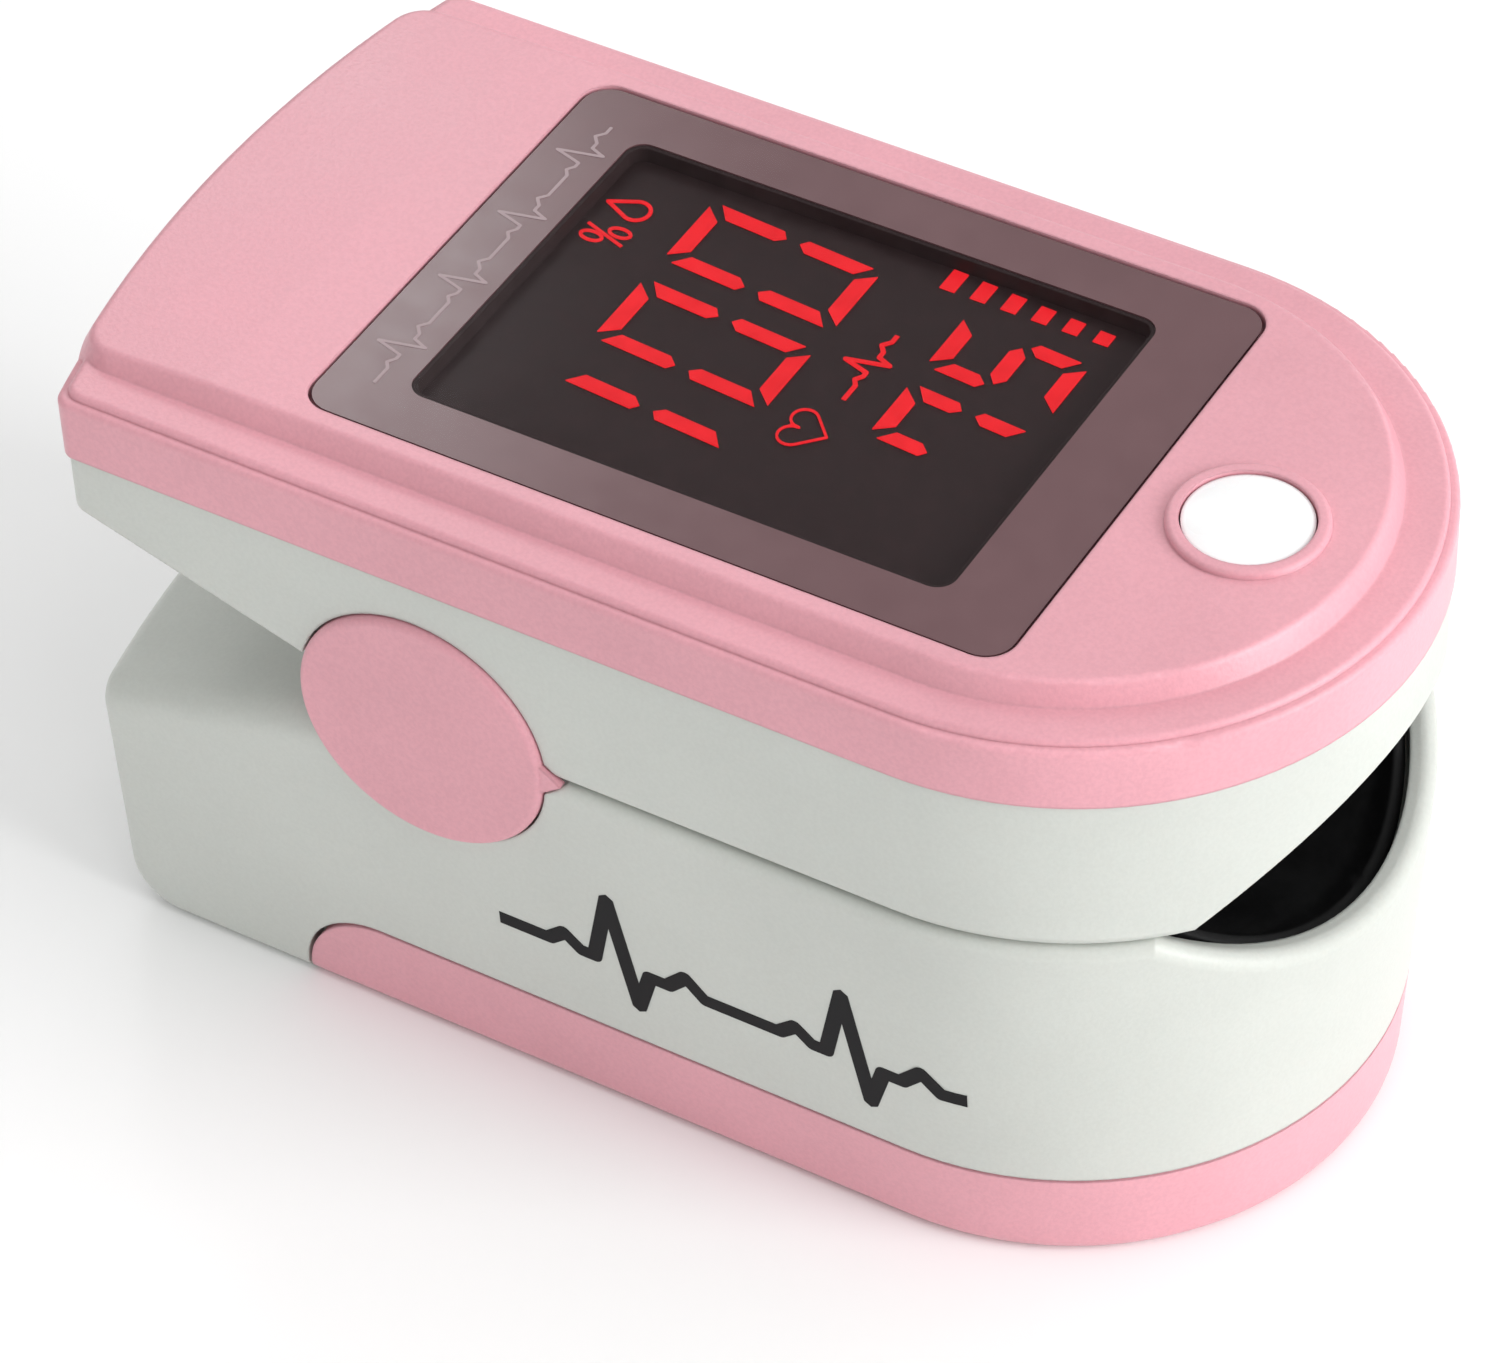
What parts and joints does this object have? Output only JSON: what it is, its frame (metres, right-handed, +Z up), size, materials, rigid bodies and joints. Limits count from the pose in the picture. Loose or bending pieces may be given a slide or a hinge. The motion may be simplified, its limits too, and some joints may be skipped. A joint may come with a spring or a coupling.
{
  "type": "fingertip pulse oximeter",
  "caption": "Spring-hinged finger clip with a tinted display window, a push button, rubber finger pads and a sliding battery cover underneath.",
  "frame": {"origin": "middle of the flat underside, under the centre of the object's box", "axes": "+X along the length towards the rounded nose where the finger goes in, +Y towards the far side, +Z up through the display"},
  "size_m": [0.057, 0.0314, 0.0325],
  "materials": {
    "pink_plastic": "satin moulded plastic with a very fine texture",
    "white_plastic": "satin moulded plastic, slightly warm white",
    "white_button": "smooth glossy plastic",
    "black_rubber": "matte silicone rubber",
    "tinted_lens": "clear tinted acrylic, polished",
    "display_black": "dark matte face",
    "clear_lens": "clear acrylic",
    "circuit_board": "solder-masked board",
    "chip_black": "matte moulded chip",
    "flex_film": "amber polyimide film",
    "spring_steel": "drawn steel wire",
    "steel": "ground steel",
    "contact_metal": "nickel-plated sheet",
    "cell_wrap": "printed shrink wrap with metal ends"
  },
  "bodies": {
    "lower_half": {"lower_shell": "white_plastic", "lower_finger_pad": "black_rubber", "detector_window": "clear_lens", "photodetector": "chip_black", "sensor_board": "circuit_board", "flex_cable": "flex_film", "battery_near": "cell_wrap", "battery_far": "cell_wrap", "rear_battery_contact": "contact_metal", "front_contact_near": "contact_metal", "front_contact_far": "contact_metal", "contact_spring_near": "spring_steel", "contact_spring_far": "spring_steel", "hinge_disc_near": "pink_plastic", "hinge_disc_far": "pink_plastic", "hinge_axle": "steel", "torsion_spring": "spring_steel"},
    "upper_half": {"upper_shell": "white_plastic", "upper_finger_pad": "black_rubber", "emitter_window": "clear_lens", "emitter_led": "clear_lens", "emitter_board": "circuit_board", "main_board": "circuit_board", "board_chips": "chip_black", "display_module": "display_black", "display_window": "tinted_lens", "top_cover": "pink_plastic", "power_switch": "chip_black", "cover_screws": "steel"},
    "button": {"power_button": "white_button", "switch_plunger": "chip_black"},
    "cover": {"battery_cover": "pink_plastic"}
  },
  "joints": [
    {"name": "clip_hinge", "type": "hinge", "parent": "lower_half", "child": "upper_half", "pos_m": [-0.00935, 0, 0.01955], "axis": [0, -1, 0], "range_deg": [0, 30], "stiffness_Nm_per_rad": 0.1, "springref_deg": -28.65, "deforming": ["torsion_spring", "flex_cable"]},
    {"name": "button_press", "type": "slide", "parent": "upper_half", "child": "button", "axis": [0, 0, -1], "range_m": [0, 0.0004], "stiffness_N_per_m": 1000, "springref_m": -0.0005},
    {"name": "cover_slide", "type": "slide", "parent": "lower_half", "child": "cover", "axis": [1, 0, 0], "range_m": [0, 0.046]}
  ]
}
